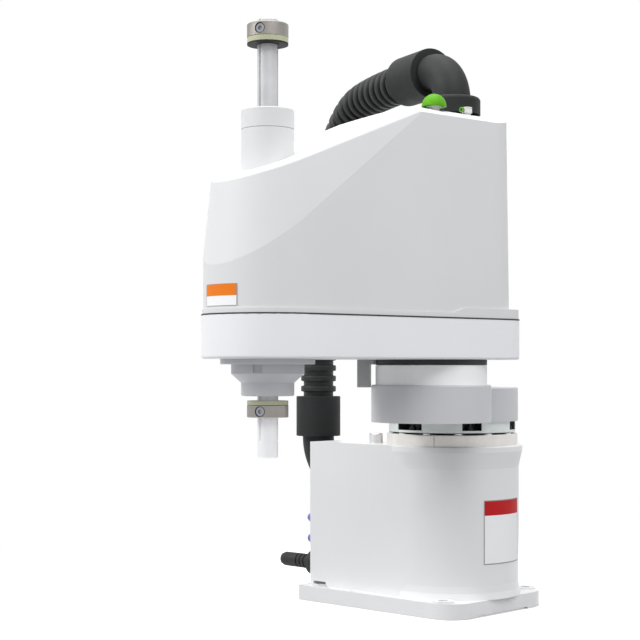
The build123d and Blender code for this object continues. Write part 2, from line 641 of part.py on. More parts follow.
def j4_nut_pulley():
    return AT_QUILL * pulley(PULLEY_NUT_R, J4_BELT_Z, NUT_R + 0.03)


def ball_screw_nut():
    body = tube(NUT_R, SHAFT_R + SLIP, 278.5, 312.0)
    body += tube(20.0, SHAFT_R + SLIP, 296.5, 300.5)
    for part in ring_of(disc(1.6, 296, 301, 17.6), 6):
        body -= part
    return AT_QUILL * body


def j3_nut_pulley():
    return AT_QUILL * pulley(PULLEY_NUT_R, J3_BELT_Z, NUT_R + 0.03)


def nut_bearings():
    low = tube(23.6, 18.2, 236.0, 250.0) + tube(23.6, 15.4, 250.0, 260.0)
    low += tube(23.6, 18.2, 231.3, 236.1)
    return AT_QUILL * low


def upper_bearing():
    body = tube(24.0, 20.4, 294.5, 304.0) + tube(24.0, 15.5, 303.9, 306.0)
    body += block(-49, -22, -9, 9, MOTOR_PLATE_Z1 + 0.05, 306.0) - disc(24.0, 280, 320)
    return AT_QUILL * body


def quill_hub():
    seat = TRAY_Z0 - 0.05
    profile = [(SHAFT_R + 4.0, 230.6), (SHAFT_R + 4.0, HUB_Z0), (HUB_NOSE_R - 0.8, HUB_Z0),
               (HUB_NOSE_R, HUB_Z0 + 0.8), (HUB_NOSE_R, 208.2), (HUB_R, 215.2), (HUB_R, HUB_FLANGE_Z),
               (HUB_FLANGE_R - 0.5, HUB_FLANGE_Z), (HUB_FLANGE_R, HUB_FLANGE_Z + 0.5),
               (HUB_FLANGE_R, seat), (23.7, seat), (23.7, 230.6)]
    body = lathe(profile)
    body -= disc(SHAFT_R + 8.0, 212.0, 229.0)
    well = disc(3.0, HUB_FLANGE_Z - 1, HUB_FLANGE_Z + 2.4, 31.6) + disc(1.9, HUB_FLANGE_Z, 229, 31.6)
    for part in ring_of(well, 6, 30):
        body -= part
    body -= Rot(0, 0, -60 - HEADING) * Pos(HUB_R + 1, 0, 219.0) * Box(6, 7, 5.5)
    return AT_QUILL * body


def quill_hub_screws():
    low = HUB_FLANGE_Z + 0.3
    screw = Pos(31.6, 0, 0) * (disc(2.9, low, low + 2.0) + disc(1.7, low + 1.9, TRAY_Z0 - 0.2) -
                               Pos(0, 0, low - 1.0) * extrude(RegularPolygon(1.5, 6), 2.2))
    return [AT_QUILL * s for s in ring_of(screw, 6, 30)]


def hub_seal():
    body = tube(SHAFT_R + 7.8, SHAFT_R + 0.06, 212.2, 217.0)
    return AT_QUILL * body


def spline_shaft():
    """Hollow spline shaft: three ball grooves, and a plain clamping end below a relief."""
    body = disc(SHAFT_R, SHAFT_Z0, SHAFT_Z1 + 4)
    body = chamfer(body.edges().filter_by(GeomType.CIRCLE), SHAFT_CHAMFER)
    plain = SHAFT_Z0 + SHAFT_CHAMFER + SHAFT_PLAIN
    body -= tube(SHAFT_R + 2, SHAFT_R - 0.3, plain, plain + 1.0)
    groove = block(SHAFT_R - 0.8, SHAFT_R + 1, -1.2, 1.2, plain + 0.5, SHAFT_Z1 + 6)
    for part in ring_of(groove, 3, SPLINE_FIRST):
        body -= part
    body -= disc(SHAFT_BORE, SHAFT_Z0 - 1, SHAFT_Z1 + 10)
    return AT_QUILL * body


AT_COLLAR = AT_QUILL * Rot(0, 0, CLAMP_ANGLE - HEADING)


def collar(z0, z1, screw_z):
    """Set collar: a slit ring with one socket screw in a round counterbore."""
    ring = tube(COLLAR_R, SHAFT_R + 0.02, z0, z1)
    ring = chamfer(ring.edges().filter_by(GeomType.CIRCLE).filter_by(
        lambda e: e.radius > COLLAR_R - 1), 0.5)
    ring -= block(-COLLAR_R - 2, -SHAFT_R + 1, -0.6, 0.6, z0 - 1, z1 + 1)
    ring -= along_x(Cylinder(COLLAR_BORE_R, 8.0), COLLAR_R + 0.4, 0, screw_z)
    ring -= along_x(Cylinder(1.7, 20.0), SHAFT_R, 0, screw_z)
    return AT_COLLAR * ring


def collar_screw(screw_z):
    head = COLLAR_R - 3.55
    screw = disc(3.4, head, head + 2.6) + disc(1.6, SHAFT_R + 0.2, head + 0.1)
    screw -= Pos(0, 0, head + 1.0) * extrude(RegularPolygon(1.8, 6), 3)
    return AT_COLLAR * Location((0, 0, screw_z), (0, 90, 0)) * screw


def cushion(z0, z1):
    body = tube(COLLAR_R - 0.1, SHAFT_R + 0.02, z0, z1)
    return AT_QUILL * body


def j2_stop_bracket():
    arm = block(J2_STOP_R - 6.5, J2_STOP_R + 4, -8, 8, 203.3, TRAY_Z0 - 0.1)
    arm += block(BOSS_R + 0.7, J2_STOP_R + 4, -8, 8, TRAY_Z0 - 4, TRAY_Z0 - 0.1)
    return AT_ARM_2 * Rot(0, 0, -47.0) * arm


def roof_at(x, y, r=0.0):
    """Height of the crowned top under a round foot of radius r."""
    return CREST_Z - CREST_R + math.sqrt(CREST_R ** 2 - max(abs(y) - r, 0.0) ** 2)


LAMP_Z = roof_at(*LAMP_AT, 6.25) + 0.05
FITTING_Z = roof_at(*TOP_FITTING_AT, 4.2) + 0.05
FITTING_PORT_Z = FITTING_Z + 2.35


def lamp_base():
    body = disc(6.25, LAMP_Z, LAMP_Z + 2.9) + disc(4.4, LAMP_Z - 14, LAMP_Z + 0.1)
    body -= disc(2.2, LAMP_Z - 15, LAMP_Z + 5)
    return AT_ARM_2 * Pos(*LAMP_AT, 0) * body


def lamp_lens():
    low = LAMP_Z + 1.1
    dome = Pos(0, 0, low) * Sphere(10.2) & disc(20, low, low + 14)
    dome -= Pos(0, 0, low) * Sphere(8.6)
    dome += tube(10.2, 6.4, low - 0.3, low + 0.7)
    return AT_ARM_2 * Pos(*LAMP_AT, 0) * dome


def top_air_fitting():
    body = disc(4.2, FITTING_Z, FITTING_Z + 4.8) + disc(3.0, FITTING_Z - 10, FITTING_Z + 0.1)
    body -= tube(6, 3.7, FITTING_Z + 3.4, FITTING_Z + 4.0)
    body += along_x(Cylinder(1.8, 5.0), 2.5, 0, FITTING_PORT_Z)
    body -= along_x(Cylinder(1.1, 6.0), 4.0, 0, FITTING_PORT_Z)
    return AT_ARM_2 * Pos(*TOP_FITTING_AT, 0) * body


def top_fitting_ring():
    body = along_x(Cylinder(2.2, 2.0) - Cylinder(1.1, 4.0), 6.05, 0, FITTING_PORT_Z)
    return AT_ARM_2 * Pos(*TOP_FITTING_AT, 0) * body


# ---- conduit ------------------------------------------------------------------------
SOCKET_X = J1_X - 172.0
LEG_X = J2_X - LEG_BACK * math.cos(math.radians(HEADING))
LEG_Y = J2_Y - LEG_BACK * math.sin(math.radians(HEADING))
PLAN = math.hypot(LEG_X - SOCKET_X, LEG_Y)
PLAN_A = math.degrees(math.atan2(LEG_Y, LEG_X - SOCKET_X))
AT_PLAN = Location((SOCKET_X, 0, 0), (0, 0, PLAN_A))
SLEEVE_END = PLAN - 77.0
LEG_RADIUS = 31.0
PORT_RADIUS = 44.0


def swept(points, radius, at, bore=None):
    path = Line(points[0], points[1]) if len(points) == 2 else FilletPolyline(*points, radius=radius[0])
    start = Plane(origin=path @ 0, z_dir=path % 0)
    body = sweep(start * Circle(radius[1]), path=path)
    if bore:
        body -= sweep(start * Circle(bore), path=path)
    return at * body


def conduit_lower_elbow():
    pts = [(PANEL_X1 - SOCKET_X, 0, PORT_LEG_Z), (0, 0, PORT_LEG_Z), (0, 0, 158.0)]
    return swept(pts, (PORT_RADIUS, 15.6), Location((SOCKET_X, 0, 0)), 11.0)


def conduit_lower_nut():
    nut = along_x(hex_prism(22.0, 7.6), PANEL_X0 - 4.1, 0, PORT_LEG_Z)
    return nut - along_x(Cylinder(16.3, 40.0), PANEL_X0 - 4, 0, PORT_LEG_Z)


def conduit_sleeve(z0, z1):
    body = tube(SLEEVE_R, ELBOW_TUBE_R + 0.15, z0, z0 + 8)
    body += tube(SLEEVE_R, HOSE_R + GAP, z0 + 7.9, z1)
    return chamfer(body.edges().filter_by(GeomType.CIRCLE).filter_by(
        lambda e: e.radius > SLEEVE_R - 0.5), 0.4)


def conduit_lower_sleeve():
    return Location((SOCKET_X, 0, 0)) * conduit_sleeve(152.0, SOCKET_TOP)


def conduit_upper_nut():
    """Round clamp nut with a rolled top edge, seated on the crest of the cover."""
    nut = disc(24.0, CREST_Z + 0.05, CREST_Z + 15.0)
    nut = fillet(nut.edges().group_by(Axis.Z)[-1], 3.5)
    nut -= disc(16.5, CREST_Z - 20, CREST_Z + 20)
    return AT_ARM_2 * Pos(-LEG_BACK, 0, 0) * nut


def conduit_upper_elbow():
    pts = [(PLAN, 0, 425.0), (PLAN, 0, TOP_Z), (SLEEVE_END + 35.0, 0, TOP_Z)]
    return swept(pts, (LEG_RADIUS, ELBOW_TUBE_R), AT_PLAN, 11.0)


def conduit_upper_sleeve():
    body = conduit_sleeve(0.0, 44.0)
    return AT_PLAN * Location((SLEEVE_END + 44.0, 0, TOP_Z), (0, -90, 0)) * body


def hose_route():
    """Straight runs with tangent arcs, radius 0.45 of the shorter run / tan(half turn)."""
    pts = [(0, 162.5), (0, 300.0), (18.0, 398.0), (62.0, 464.0), (118.0, TOP_Z), (SLEEVE_END + 34.0, TOP_Z)]
    pts = [Vector(rho, 0, z) for rho, z in pts]
    radii = []
    for i in range(1, len(pts) - 1):
        a, b = pts[i] - pts[i - 1], pts[i + 1] - pts[i]
        turn = math.radians(a.get_angle(b))
        radii.append(0.45 * min(a.length, b.length) / math.tan(turn / 2))
    print("hose radii", [round(r, 1) for r in radii])
    return FilletPolyline(*pts, radius=radii)


def conduit_hose():
    path = hose_route()
    start = Plane(origin=path @ 0, z_dir=path % 0)
    tube_body = sweep(start * (Circle(HOSE_CORE) - Circle(HOSE_CORE - 2.0)), path=path)
    print("hose length", round(path.length, 1), "volume ratio",
          round(tube_body.volume / (path.length * math.pi * (HOSE_CORE ** 2 - (HOSE_CORE - 2) ** 2)), 4))
    body = tube_body
    count = int((path.length - 34) / HOSE_PITCH)
    for k in range(count):
        t = (30.0 + HOSE_PITCH * (k + 0.5)) / path.length
        if t * path.length > path.length - 36:
            break
        at = Plane(origin=path @ t, z_dir=path % t)
        ring = Solid.make_cylinder(HOSE_R, 4.4, at.offset(-2.2)) - Solid.make_cylinder(
            HOSE_CORE - 1.0, 9.0, at.offset(-4.5))
        body = body + ring
    return AT_PLAN * body


# ---- write every node ---------------------------------------------------------------
NODES = {
    "base_housing": base_housing, "rear_panel": rear_panel, "rear_panel_screws": rear_panel_screws,
    "power_socket": power_socket, "signal_socket": signal_socket, "air_fittings": air_fittings,
    "ground_terminal": ground_terminal, "rubber_boot": rubber_boot, "j1_motor": j1_motor,
    "j1_motor_mount": j1_motor_mount, "j1_reducer": j1_reducer, "j1_reducer_bolts": j1_reducer_bolts,
    "j1_stop_pins": j1_stop_pins, "conduit_lower_nut": conduit_lower_nut,
    "conduit_lower_elbow": conduit_lower_elbow, "conduit_lower_sleeve": conduit_lower_sleeve,
    "conduit_hose": conduit_hose,
    "j1_output_flange": j1_output_flange, "j1_flange_bolts": j1_flange_bolts,
    "arm_1_casting": arm_1_casting, "arm_1_cap": arm_1_cap, "arm_1_bolts": arm_1_bolts,
    "j2_stop_pin": j2_stop_pin, "j2_output_flange": j2_output_flange,
    "arm_2_tray": arm_2_tray, "arm_2_cover": arm_2_cover, "tube_cap_ring": tube_cap_ring,
    "seal_ring": seal_ring, "j2_reducer": j2_reducer, "j2_motor": j2_motor,
    "motor_plate": motor_plate, "motor_plate_screws": motor_plate_screws,
    "j3_motor": lambda: small_motor(J3_AT, 386.0), "j4_motor": lambda: small_motor(J4_AT, 370.0),
    "j3_belt": lambda: belt(J3_AT, LINK_2, PULLEY_MOTOR_R + BELT_GAP, PULLEY_NUT_R + BELT_GAP, J3_BELT_Z),
    "j4_belt": lambda: belt(J4_AT, LINK_2, PULLEY_MOTOR_R + BELT_GAP, PULLEY_NUT_R + BELT_GAP, J4_BELT_Z),
    "nut_bearings": nut_bearings, "upper_bearing": upper_bearing,
    "quill_hub": quill_hub, "quill_hub_screws": quill_hub_screws, "hub_seal": hub_seal,
    "j2_stop_bracket": j2_stop_bracket, "lamp_base": lamp_base, "lamp_lens": lamp_lens,
    "top_air_fitting": top_air_fitting, "top_fitting_ring": top_fitting_ring,
    "conduit_upper_nut": conduit_upper_nut, "conduit_upper_elbow": conduit_upper_elbow,
    "conduit_upper_sleeve": conduit_upper_sleeve,
    "j3_motor_pulley": lambda: motor_pulley(J3_AT, J3_BELT_Z),
    "j4_motor_pulley": lambda: motor_pulley(J4_AT, J4_BELT_Z),
    "spline_nut": spline_nut, "j4_nut_pulley": j4_nut_pulley,
    "ball_screw_nut": ball_screw_nut, "j3_nut_pulley": j3_nut_pulley,
    "spline_shaft": spline_shaft,
    "upper_collar": lambda: collar(473.1, SHAFT_Z1, 478.4),
    "lower_collar": lambda: collar(181.6, 191.38, 186.4),
    "collar_cushions": lambda: [cushion(467.9, 473.08), cushion(191.4, 194.5)],
    "collar_screws": lambda: [collar_screw(478.4), collar_screw(186.4)],
}


def solids_of(shape):
    if isinstance(shape, (list, tuple)):
        return [s for item in shape for s in solids_of(item)]
    return list(shape.solids())


for node, make in NODES.items():
    save(node, Compound(solids_of(make())))
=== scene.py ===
import json
import math

import bpy
import bmesh
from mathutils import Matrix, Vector


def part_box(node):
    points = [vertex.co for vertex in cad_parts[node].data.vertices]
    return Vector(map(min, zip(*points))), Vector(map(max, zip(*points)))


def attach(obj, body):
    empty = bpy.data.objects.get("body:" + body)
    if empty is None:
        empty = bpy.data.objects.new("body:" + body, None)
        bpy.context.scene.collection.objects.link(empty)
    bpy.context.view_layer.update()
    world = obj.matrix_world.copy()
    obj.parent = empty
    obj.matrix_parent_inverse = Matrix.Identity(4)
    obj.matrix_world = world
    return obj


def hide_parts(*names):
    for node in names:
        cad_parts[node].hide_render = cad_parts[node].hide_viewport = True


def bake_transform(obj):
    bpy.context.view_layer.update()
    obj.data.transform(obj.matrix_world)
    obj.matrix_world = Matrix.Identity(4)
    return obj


bl_info = {
    "name": "Scara Robot Arm",
    "version": (1, 0, 0),
    "blender": (4, 5, 0),
    "location": "View3D > Sidebar > Scara",
    "description": "Dresses the packed frame of a four-axis scara robot arm",
    "category": "Object",
}

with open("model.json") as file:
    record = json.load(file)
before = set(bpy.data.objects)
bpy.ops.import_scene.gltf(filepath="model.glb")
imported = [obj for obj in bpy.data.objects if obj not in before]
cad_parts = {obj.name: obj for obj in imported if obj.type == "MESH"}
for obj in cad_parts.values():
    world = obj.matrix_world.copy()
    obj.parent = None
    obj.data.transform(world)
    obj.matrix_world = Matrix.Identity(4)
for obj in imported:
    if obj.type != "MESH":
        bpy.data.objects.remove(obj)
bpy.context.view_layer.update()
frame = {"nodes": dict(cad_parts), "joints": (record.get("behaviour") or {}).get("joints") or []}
NODES = frame["nodes"]
JOINTS = {j["name"]: j for j in frame["joints"]}
J1 = Vector(JOINTS["J1"]["pos_m"])
J2 = Vector(JOINTS["J2"]["pos_m"])
J4 = Vector(JOINTS["J4"]["pos_m"])
HEADING = math.atan2(J4.y - J2.y, J4.x - J2.x)
LINK_2 = math.hypot(J4.x - J2.x, J4.y - J2.y)
MM = 0.001

# ---- sizes of the frame that the pieces follow, in metres ---------------------------
BOSS_SEAM = 0.2056          # above it the elbow boss is painted like the shell
POCKET_SHADE_R = 0.0576      # inside it the flange's pockets are painted near-black: painted shade in the hollows
SHAFT_REFLECTION_TOP = 0.2      # below it the spline shaft is painted lighter: a painted reflection of the bright surroundings
SHADE_BAND_TOP = 0.4692         # painted shade: the upper cushion is painted black up to here, on its lowest band and underside
SHADE_BAND_DEPTH = 0.02          # the painted black reaches this far below that, and nothing else of the cushions lies within it

# ---- gasket, in millimetres ---------------------------------------------------------
TRAY_HALF, TRAY_REAR, TRAY_CORNER = 51.0, -68.8, 25.0  # half width, rear end, corner radius
GASKET_PROUD = 0.15         # how far it stands out of the tray's outline
GASKET_DROP = 0.60          # its lower edge under the lower edge of the cover
GASKET_HEIGHT, GASKET_WIDTH = 1.1, 1.6

# ---- conduit ------------------------------------------------------------------------
# Route of its middle line in millimetres: how far along the span, and how high.
CREST_HEIGHT = 477
CONDUIT_RISE = [(0, 162.5), (0, 300), (18, 398), (62, 464), (118, CREST_HEIGHT)]
UPPER_SLEEVE_REACH = 43     # the route ends this far from the axis of the upper nut
SPLIT_REACH = 0.110         # the two runs meet this far along the span, in metres
CONDUIT_WALL = 0.0011
CONDUIT_SLACK = 0.004       # the tube ends this much before the end of its route

# ---- blank panels, in metres and degrees --------------------------------------------
PANEL_LIFT, PANEL_THICK = 0.0003, 0.00025  # outer face over the wall, and thickness
NOSE_R, BASE_FRONT_R = 0.0496, 0.0612      # radii of the two walls under the panels
NOSE_LOW, NOSE_HIGH, NOSE_BAND = 0.266, 0.2825, 0.0090
NOSE_START, NOSE_END = -16, 25             # counted from the heading of arm 2
BASE_LOW, BASE_HIGH, BASE_BAND = 0.045, 0.102, 0.0135
BASE_PANEL_HALF = 0.025                    # half of its width, along the wall
NOSE_BORDER, BASE_BORDER = 0.018, 0.014    # grey border, as a share of the panel

# ---- studio -------------------------------------------------------------------------
LAMP_TARGET = (0.03, -0.1, 0.22)
LAMPS = (  # name, place, power in watts, width
    ("key_light", (-1.25, -1.75, 1.9), 43.5, 1.3),
    ("top_light", (-0.1, -0.1, 2.2), 26.0, 1.8),
    ("fill_light", (1.5, -0.7, 2.0), 26.5, 1.4))
SKY_COLOUR, SKY_STRENGTH = (0.93, 0.95, 1.0, 1.0), 0.65
FLOOR_WIDTH, FLOOR_DROP = 14.0, 0.0004
FLOOR_FADE = (0.30, 0.62)   # between these distances the floor turns plain white
FLOOR_LIFT = 0.40           # glow of the floor near the arm
FLOOR_BOUNCE = (0.28, 0.28, 0.286, 1.0)    # what the floor throws back at the arm
CAMERA_PLACE, CAMERA_LOOK = (0.9240, -1.0918, 0.2192), (-0.6958, 0.7182, 0.0)
CAMERA_LENS, CAMERA_SENSOR, CAMERA_SHIFT = 85.35, 36.0, 0.0758


def on_arm_2(x, y, z):
    """A place given in millimetres along arm 2, across it and up."""
    c, s = math.cos(HEADING), math.sin(HEADING)
    return Vector((J2.x + (x * c - y * s) * MM, J2.y + (x * s + y * c) * MM, z * MM))


def link_line(half, rear, corner, steps=16):
    """The outline of arm 2 in plan: round nose, parallel flanks, two rear corners."""
    arcs = ((rear + corner, corner - half, corner, 180, 90), (LINK_2 / MM, 0, half, 270, 180),
            (rear + corner, half - corner, corner, 90, 90))
    points = []
    for x, y, r, start, sweep in arcs:
        for k in range(steps + 1):
            turn = math.radians(start + sweep * k / steps)
            points.append((x + r * math.cos(turn), y + r * math.sin(turn)))
    return points


# ---- properties ---------------------------------------------------------------------
class FinishSettings(bpy.types.PropertyGroup):
    """Colours of the paints, the conduit, the lamp and the panels"""
    shell_colour: bpy.props.FloatVectorProperty(
        name="Shell paint", description="Colour of the base and cover", subtype="COLOR",
        default=(0.80, 0.80, 0.795), min=0.0, max=1.0)
    arm_colour: bpy.props.FloatVectorProperty(
        name="Arm paint", description="Colour of the first arm and the quill hub", subtype="COLOR",
        default=(0.58, 0.58, 0.59), min=0.0, max=1.0)
    hose_colour: bpy.props.FloatVectorProperty(
        name="Conduit", description="Colour of the conduit and its fittings", subtype="COLOR",
        default=(0.014, 0.015, 0.015), min=0.0, max=1.0)
    lens_colour: bpy.props.FloatVectorProperty(
        name="Lamp lens", description="Colour of the status lamp", subtype="COLOR",
        default=(0.090, 0.31, 0.007), min=0.0, max=1.0)
    label_orange: bpy.props.FloatVectorProperty(
        name="Nose panel band", description="Upper band of the panel on the nose", subtype="COLOR",
        default=(0.84, 0.21, 0.015), min=0.0, max=1.0)
    label_red: bpy.props.FloatVectorProperty(
        name="Base panel band", description="Upper band of the panel on the base", subtype="COLOR",
        default=(0.52, 0.015, 0.018), min=0.0, max=1.0)


class ConduitSettings(bpy.types.PropertyGroup):
    """Sizes of the corrugated tube"""
    outer_radius: bpy.props.FloatProperty(
        name="Crest radius", description="Radius over the corrugations", default=0.0175, unit="LENGTH")
    root_radius: bpy.props.FloatProperty(
        name="Root radius", description="Radius between the corrugations", default=0.0148, unit="LENGTH")
    pitch: bpy.props.FloatProperty(
        name="Pitch", description="Length of one corrugation", default=0.0104, unit="LENGTH")


# ---- mesh tools ---------------------------------------------------------------------
def deselect():
    """Leave nothing selected, in object mode."""
    if bpy.context.object and bpy.context.object.mode != "OBJECT":
        bpy.ops.object.mode_set(mode="OBJECT")
    bpy.ops.object.select_all(action="DESELECT")


def take(obj):
    """Make one object the only one selected, and active."""
    deselect()
    obj.select_set(True)
    bpy.context.view_layer.objects.active = obj
    return obj


def settle(obj, name, angle=0.6):
    """Name a finished piece, put its place in its mesh and smooth it."""
    take(obj)
    bpy.ops.object.transform_apply(location=True, rotation=True, scale=True)
    obj.name = name
    obj.data.name = name
    bpy.ops.object.shade_smooth_by_angle(angle=angle)
    return obj


def tidy_normals(obj):
    """Merge doubles and turn the faces outwards."""
    take(obj)
    bpy.ops.object.mode_set(mode="EDIT")
    bpy.ops.mesh.select_all(action="SELECT")
    bpy.ops.mesh.remove_doubles(threshold=1e-6)
    bpy.ops.mesh.normals_make_consistent(inside=False)
    bpy.ops.object.mode_set(mode="OBJECT")


def put(obj, material):
    """Give an object one material."""
    obj.data.materials.clear()
    obj.data.materials.append(material)


def apply_all(obj):
    """Apply an object's modifiers in order."""
    take(obj)
    for modifier in list(obj.modifiers):
        bpy.ops.object.modifier_apply(modifier=modifier.name)


# ---- material tools -----------------------------------------------------------------
class Shader:
    """A principled material with its own node helpers."""

    def __init__(self, name, colour, roughness, metallic=0.0, specular=0.5):
        self.material = bpy.data.materials.new(name)
        self.material.use_nodes = True
        self.tree = self.material.node_tree
        self.main = self.tree.nodes["Principled BSDF"]
        self.main.inputs["Base Color"].default_value = (*colour, 1.0)
        self.main.inputs["Roughness"].default_value = roughness
        self.main.inputs["Metallic"].default_value = metallic
        self.main.inputs["Specular IOR Level"].default_value = specular
        self.material.diffuse_color = (*colour, 1.0)
        self.place = self.node("ShaderNodeTexCoord").outputs["Object"]

    def node(self, kind, **values):
        """A new node with its settings."""
        made = self.tree.nodes.new(kind)
        for key, value in values.items():
            setattr(made, key, value)
        return made

    def join(self, a, b):
        """Links an output to an input."""
        self.tree.links.new(a, b)

    def noise(self, scale, detail=3.0, rough=0.5, stretch=None):
        """Noise on the place on the object, perhaps stretched."""
        made = self.node("ShaderNodeTexNoise")
        made.inputs["Scale"].default_value = scale
        made.inputs["Detail"].default_value = detail
        made.inputs["Roughness"].default_value = rough
        if stretch:
            bend = self.node("ShaderNodeMapping")
            bend.inputs["Scale"].default_value = stretch
            self.join(self.place, bend.inputs["Vector"])
            self.join(bend.outputs["Vector"], made.inputs["Vector"])
        else:
            self.join(self.place, made.inputs["Vector"])
        return made.outputs["Fac"]

    def range(self, value, low, high, to_low, to_high):
        """A value carried from one range to another."""
        made = self.node("ShaderNodeMapRange")
        made.inputs["From Min"].default_value = low
        made.inputs["From Max"].default_value = high
        made.inputs["To Min"].default_value = to_low
        made.inputs["To Max"].default_value = to_high
        self.join(value, made.inputs["Value"])
        return made.outputs["Result"]

    def mix(self, factor, a, b):
        """Two colours or colour sockets mixed by a factor."""
        made = self.node("ShaderNodeMix", data_type="RGBA")
        sockets = {s.identifier: s for s in made.inputs}
        for key, value in (("A_Color", a), ("B_Color", b)):
            if isinstance(value, (tuple, list)):
                sockets[key].default_value = (*value, 1.0) if len(value) == 3 else value
            else:
                self.join(value, sockets[key])
        self.join(factor, sockets["Factor_Float"])
        return {s.identifier: s for s in made.outputs}["Result_Color"]

    def colour(self, socket):
        """Drives the colour of the surface."""
        self.join(socket, self.main.inputs["Base Color"])

    def roughness(self, socket):
        """Drives the roughness of the surface."""
        self.join(socket, self.main.inputs["Roughness"])

    def bump(self, height, strength, distance):
        """Adds a bump to those that are there."""
        made = self.node("ShaderNodeBump")
        made.inputs["Strength"].default_value = strength
        made.inputs["Distance"].default_value = distance
        self.join(height, made.inputs["Height"])
        last = self.main.inputs["Normal"]
        if last.is_linked:
            self.join(last.links[0].from_socket, made.inputs["Normal"])
        self.join(made.outputs["Normal"], last)

    def math(self, operation, a, b=None):
        """A math node on numbers or sockets."""
        made = self.node("ShaderNodeMath", operation=operation)
        for socket, value in zip(made.inputs, (a, b)):
            if value is None:
                continue
            if isinstance(value, (int, float)):
                socket.default_value = value
            else:
                self.join(value, socket)
        return made.outputs["Value"]

    def axes(self, centre=(0, 0, 0)):
        """X, Y and Z of the place on the object, counted from a centre."""
        bend = self.node("ShaderNodeMapping")
        bend.inputs["Location"].default_value = [-c for c in centre]
        self.join(self.place, bend.inputs["Vector"])
        parts = self.node("ShaderNodeSeparateXYZ")
        self.join(bend.outputs["Vector"], parts.inputs["Vector"])
        return parts.outputs


def shade(colour, factor):
    """A colour made darker or lighter by a factor."""
    return tuple(min(1.0, max(0.0, c * factor)) for c in colour)


def paint(name, colour, roughness=0.38, peel=0.10, coat=0.15, dirt=0.035, specular=0.5, above=None):
    """Sprayed enamel with faint orange peel and a soft drift in tone.

    Above a level it may have another colour.
    """
    s = Shader(name, colour, roughness, specular=specular)
    s.main.inputs["Coat Weight"].default_value = coat
    s.main.inputs["Coat Roughness"].default_value = 0.22
    drift = s.range(s.noise(7.0, 4.0), 0.3, 0.7, 0.0, 1.0)
    tone = s.mix(drift, shade(colour, 1.0 - dirt), shade(colour, 1.0 + dirt * 0.35))
    if above:
        level, upper = above
        tone = s.mix(s.math("GREATER_THAN", s.axes()[2], level), tone, upper)
    s.colour(tone)
    s.roughness(s.range(s.noise(38.0, 5.0), 0.3, 0.7, roughness - 0.05, roughness + 0.09))
    s.bump(s.noise(900.0, 2.0), peel, 0.00006)
    return s.material


def moulded(name, colour, roughness=0.42, grain=0.12, size=1600.0, drift_by=0.03, specular=0.5):
    """Moulded plastic with a spark-eroded grain."""
    s = Shader(name, colour, roughness, specular=specular)
    drift = s.range(s.noise(9.0, 3.0), 0.3, 0.7, 0.0, 1.0)
    s.colour(s.mix(drift, shade(colour, 1.0 - drift_by), shade(colour, 1.0 + drift_by * 0.5)))
    s.roughness(s.range(s.noise(60.0, 4.0), 0.3, 0.7, roughness - 0.05, roughness + 0.08))
    s.bump(s.noise(size, 3.0), grain, 0.00005)
    return s.material


def machined(name, colour, centre, roughness=0.30, lines=5200.0, metallic=1.0, strength=0.12,
             inside=None, below=None):
    """Turned metal with fine rings round an upright axis.

    Inside a radius, or below a level, it may have another colour.
    """
    s = Shader(name, colour, roughness, metallic)
    x, y, z = s.axes((centre[0], centre[1], 0.0))[:3]
    radius = s.math("SQRT", s.math("ADD", s.math("MULTIPLY", x, x), s.math("MULTIPLY", y, y)))
    rings = s.math("ADD", s.math("SINE", s.math("MULTIPLY", radius, lines)),
                   s.math("SINE", s.math("MULTIPLY", z, lines * 1.13)))
    stain = s.range(s.noise(60.0, 5.0), 0.35, 0.75, 0.0, 1.0)
    tone = s.mix(stain, colour, shade(colour, 0.86))
    for edge, place in ((inside, radius), (below, z)):
        if edge:
            tone = s.mix(s.math("LESS_THAN", place, edge[0]), tone, edge[1])
    s.colour(tone)
    s.roughness(s.range(s.noise(150.0, 4.0), 0.3, 0.7, roughness - 0.06, roughness + 0.10))
    s.bump(rings, strength, 0.00003)
    return s.material


def brushed(name, colour, roughness=0.34, metallic=1.0, stretch=(14.0, 14.0, 900.0)):
    """Plated or drawn metal with a direction in its grain."""
    s = Shader(name, colour, roughness, metallic)
    grain = s.noise(3.0, 4.0, 0.6, stretch)
    s.colour(s.mix(s.range(grain, 0.3, 0.7, 0.0, 1.0), shade(colour, 0.9), shade(colour, 1.06)))
    s.roughness(s.range(grain, 0.3, 0.7, roughness - 0.07, roughness + 0.1))
    s.bump(grain, 0.08, 0.00004)
    return s.material


def rubbery(name, colour, roughness=0.62, grain=0.25):
    """Rubber with a grey bloom and a fine grain."""
    s = Shader(name, colour, roughness, specular=0.35)
    bloom = s.range(s.noise(26.0, 5.0), 0.42, 0.72, 0.0, 1.0)
    s.colour(s.mix(bloom, colour, tuple(c * 1.35 + 0.004 for c in colour)))
    s.roughness(s.range(s.noise(90.0, 4.0), 0.3, 0.7, roughness - 0.08, roughness + 0.1))
    s.bump(s.noise(1400.0, 3.0), grain, 0.00006)
    return s.material


def cushion_layers(name, colour, seam):
    """Pale elastomer cushions; the upper one is painted black below the seam, a painted shade on its
    lowest band and underside.
    """
    s = Shader(name, colour, 0.55, specular=0.3)
    z = s.axes()[2]
    # painted shade: black in the band just below the seam
    painted_shade_band = s.math("MULTIPLY", s.math("GREATER_THAN", z, seam - SHADE_BAND_DEPTH),
                    s.math("LESS_THAN", z, seam))
    bloom = s.range(s.noise(60.0, 4.0), 0.35, 0.7, 0.0, 1.0)
    s.colour(s.mix(painted_shade_band, s.mix(bloom, colour, shade(colour, 0.9)), (0.003, 0.003, 0.003)))
    s.bump(s.noise(1400.0, 3.0), 0.12, 0.00006)
    return s.material


